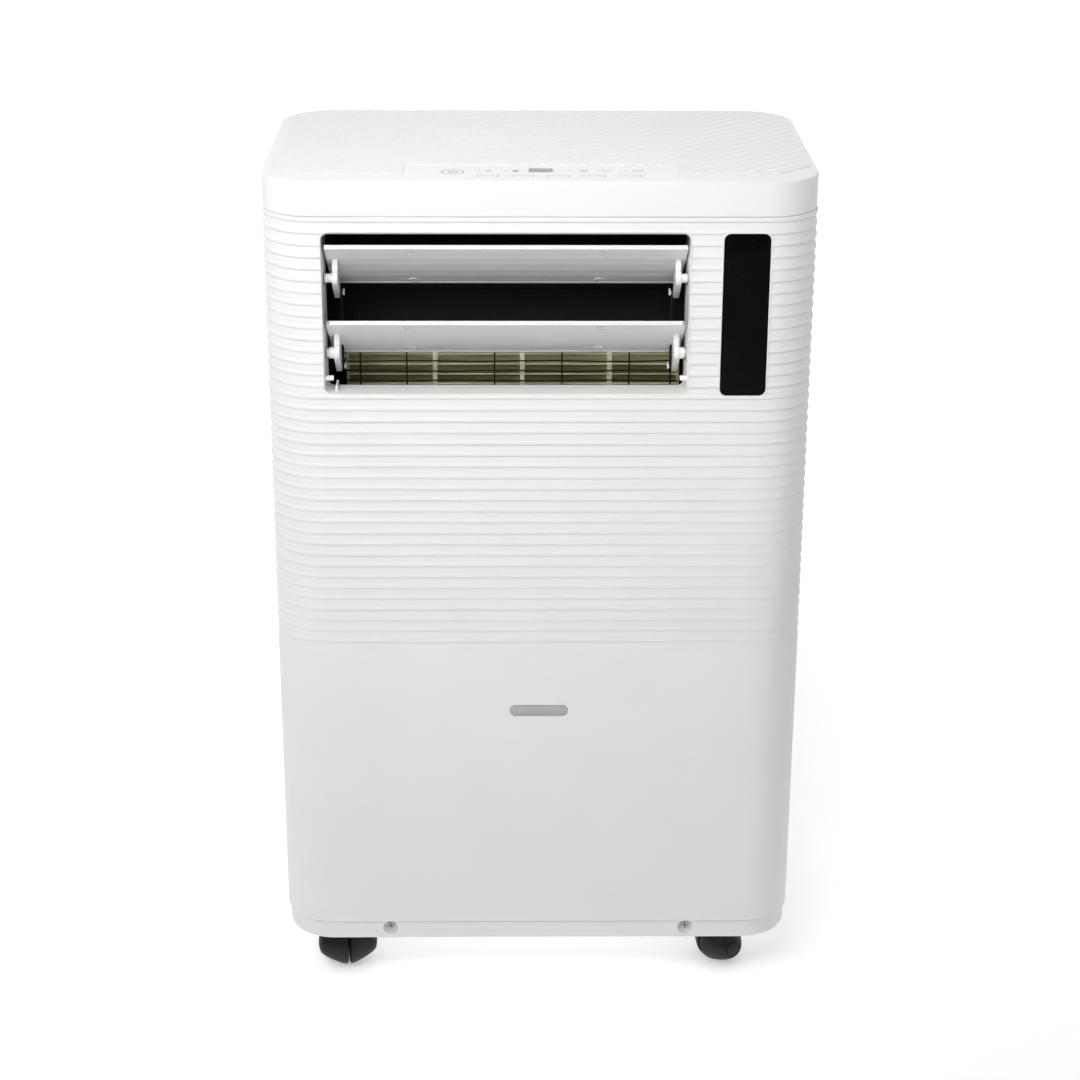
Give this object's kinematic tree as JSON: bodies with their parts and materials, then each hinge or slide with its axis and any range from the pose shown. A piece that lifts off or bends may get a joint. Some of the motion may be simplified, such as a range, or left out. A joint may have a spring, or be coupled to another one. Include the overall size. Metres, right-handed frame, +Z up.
{
  "type": "portable air conditioner",
  "caption": "Tall white cabinet on twin-wheel casters with a ribbed front, tilting louvre blades, a flush key strip on a ridged top, and a hose collar and intake grille behind.",
  "frame": {"origin": "on the floor under the middle of the bounding box", "axes": "+Z up, -Y out of the louvred front, +X to the right of the front"},
  "size_m": [0.4174, 0.2748, 0.684],
  "materials": {
    "white_plastic": "satin moulded, warm white",
    "cover_plastic": "satin moulded, with diagonal ridges on top",
    "pale_plastic": "plain moulded",
    "black_plastic": "matte moulded",
    "gloss_black": "polished, see-through only when lit from behind",
    "grey_plastic": "satin",
    "fan_plastic": "matte, olive grey",
    "fin_foil": "thin pressed fins",
    "copper_tube": "drawn tube, warm copper tone",
    "plated_steel": "zinc plated",
    "black_enamel": "stoved black enamel",
    "black_rubber": "soft matte",
    "circuit_board": "coated laminate",
    "filter_mesh": "fine woven mesh in a frame"
  },
  "bodies": {
    "cabinet": {"top_cover": "cover_plastic", "front_panel": "white_plastic", "rear_shell": "white_plastic", "base_pan": "white_plastic", "base_screw_left": "plated_steel", "base_screw_right": "plated_steel", "indicator_window": "gloss_black", "handle_cup_left": "pale_plastic", "handle_cup_right": "pale_plastic", "display_lens": "grey_plastic", "key_board": "circuit_board", "blank_badge": "grey_plastic", "outlet_duct": "black_plastic", "outlet_grille": "black_plastic", "louvre_motor": "pale_plastic", "fan_bearing": "black_rubber", "fan_motor": "plated_steel", "fan_scroll": "black_plastic", "evaporator_fins": "fin_foil", "evaporator_tubes": "copper_tube", "drip_tray": "pale_plastic", "compressor": "black_enamel", "compressor_foot_1": "black_rubber", "compressor_foot_2": "black_rubber", "compressor_foot_3": "black_rubber", "condenser_fins": "fin_foil", "condenser_tubes": "copper_tube", "blower_housing": "pale_plastic", "blower_motor": "plated_steel", "suction_pipe": "copper_tube", "liquid_pipe": "copper_tube", "control_box": "pale_plastic", "power_board": "circuit_board", "hose_collar": "white_plastic", "condenser_grille": "white_plastic", "cord_gland": "black_plastic"},
    "louvre_upper": {"louvre_upper": "white_plastic"},
    "louvre_lower": {"louvre_lower": "white_plastic"},
    "louvre_links": {"link_bar_left": "black_plastic", "link_bar_right": "black_plastic"},
    "fan": {"fan_wheel": "fan_plastic"},
    "blower": {"blower_wheel": "black_plastic"},
    "intake_panel": {"intake_grille": "white_plastic", "intake_filter": "filter_mesh"},
    "drain_plug_middle": {"drain_plug_middle": "black_rubber"},
    "drain_plug_bottom": {"drain_plug_bottom": "black_rubber"},
    "power_key": {"power_key": "cover_plastic"},
    "speed_key": {"speed_key": "cover_plastic"},
    "mode_key": {"mode_key": "cover_plastic"},
    "timer_key": {"timer_key": "cover_plastic"},
    "cooler_key": {"cooler_key": "cover_plastic"},
    "warmer_key": {"warmer_key": "cover_plastic"},
    "caster_front_left": {"caster_hood_front_left": "black_plastic"},
    "wheels_front_left": {"caster_wheels_front_left": "black_plastic"},
    "caster_front_right": {"caster_hood_front_right": "black_plastic"},
    "wheels_front_right": {"caster_wheels_front_right": "black_plastic"},
    "caster_rear_left": {"caster_hood_rear_left": "black_plastic"},
    "wheels_rear_left": {"caster_wheels_rear_left": "black_plastic"},
    "caster_rear_right": {"caster_hood_rear_right": "black_plastic"},
    "wheels_rear_right": {"caster_wheels_rear_right": "black_plastic"}
  },
  "joints": [
    {"name": "louvre_swing", "type": "hinge", "parent": "cabinet", "child": "louvre_upper", "pos_m": [-0.0247, -0.12287, 0.60645], "axis": [1, 0, 0], "range_deg": [0, 129]},
    {"name": "louvre_lower_swing", "type": "hinge", "parent": "cabinet", "child": "louvre_lower", "pos_m": [-0.0247, -0.12287, 0.54825], "axis": [1, 0, 0], "range_deg": [0, 129]},
    {"name": "louvre_link_swing", "type": "hinge", "parent": "louvre_upper", "child": "louvre_links", "pos_m": [-0.0247, -0.10273, 0.58954], "axis": [1, 0, 0], "range_deg": [-129, 0]},
    {"name": "fan_spin", "type": "hinge", "parent": "cabinet", "child": "fan", "pos_m": [-0.0205, -0.00263, 0.508], "axis": [1, 0, 0], "continuous": true},
    {"name": "blower_spin", "type": "hinge", "parent": "cabinet", "child": "blower", "pos_m": [0.07, 0.02337, 0.175], "axis": [0, 1, 0], "continuous": true},
    {"name": "power_key_press", "type": "slide", "parent": "cabinet", "child": "power_key", "axis": [0, 0, -1], "range_m": [0, 0.0006], "stiffness_N_per_m": 900},
    {"name": "speed_key_press", "type": "slide", "parent": "cabinet", "child": "speed_key", "axis": [0, 0, -1], "range_m": [0, 0.0006], "stiffness_N_per_m": 900},
    {"name": "mode_key_press", "type": "slide", "parent": "cabinet", "child": "mode_key", "axis": [0, 0, -1], "range_m": [0, 0.0006], "stiffness_N_per_m": 900},
    {"name": "timer_key_press", "type": "slide", "parent": "cabinet", "child": "timer_key", "axis": [0, 0, -1], "range_m": [0, 0.0006], "stiffness_N_per_m": 900},
    {"name": "cooler_key_press", "type": "slide", "parent": "cabinet", "child": "cooler_key", "axis": [0, 0, -1], "range_m": [0, 0.0006], "stiffness_N_per_m": 900},
    {"name": "warmer_key_press", "type": "slide", "parent": "cabinet", "child": "warmer_key", "axis": [0, 0, -1], "range_m": [0, 0.0006], "stiffness_N_per_m": 900},
    {"name": "intake_grille_tilt", "type": "hinge", "parent": "cabinet", "child": "intake_panel", "pos_m": [0, 0.12412, 0.409], "axis": [-1, 0, 0], "range_deg": [0, 70]},
    {"name": "drain_plug_middle_pull", "type": "slide", "parent": "cabinet", "child": "drain_plug_middle", "axis": [0, 1, 0], "range_m": [0, 0.02]},
    {"name": "drain_plug_bottom_pull", "type": "slide", "parent": "cabinet", "child": "drain_plug_bottom", "axis": [0, 1, 0], "range_m": [0, 0.02]},
    {"name": "caster_front_left_swivel", "type": "hinge", "parent": "cabinet", "child": "caster_front_left", "pos_m": [-0.162, -0.08513, 0.04], "axis": [0, 0, 1], "continuous": true},
    {"name": "wheels_front_left_roll", "type": "hinge", "parent": "caster_front_left", "child": "wheels_front_left", "pos_m": [-0.16059, -0.09401, 0.019], "axis": [0.9877, 0.1564, 0], "continuous": true},
    {"name": "caster_front_right_swivel", "type": "hinge", "parent": "cabinet", "child": "caster_front_right", "pos_m": [0.162, -0.08513, 0.04], "axis": [0, 0, 1], "continuous": true},
    {"name": "wheels_front_right_roll", "type": "hinge", "parent": "caster_front_right", "child": "wheels_front_right", "pos_m": [0.15405, -0.08935, 0.019], "axis": [0.4695, -0.8829, 0], "continuous": true},
    {"name": "caster_rear_left_swivel", "type": "hinge", "parent": "cabinet", "child": "caster_rear_left", "pos_m": [-0.162, 0.07387, 0.04], "axis": [0, 0, 1], "continuous": true},
    {"name": "wheels_rear_left_roll", "type": "hinge", "parent": "caster_rear_left", "child": "wheels_rear_left", "pos_m": [-0.15777, 0.08182, 0.019], "axis": [-0.8829, 0.4695, 0], "continuous": true},
    {"name": "caster_rear_right_swivel", "type": "hinge", "parent": "cabinet", "child": "caster_rear_right", "pos_m": [0.162, 0.07387, 0.04], "axis": [0, 0, 1], "continuous": true},
    {"name": "wheels_rear_right_roll", "type": "hinge", "parent": "caster_rear_right", "child": "wheels_rear_right", "pos_m": [0.15892, 0.08233, 0.019], "axis": [-0.9397, -0.342, 0], "continuous": true}
  ],
  "couplings": [
    {"joint": "louvre_lower_swing", "follows": "louvre_swing", "ratio": 1},
    {"joint": "louvre_link_swing", "follows": "louvre_swing", "ratio": -1}
  ]
}
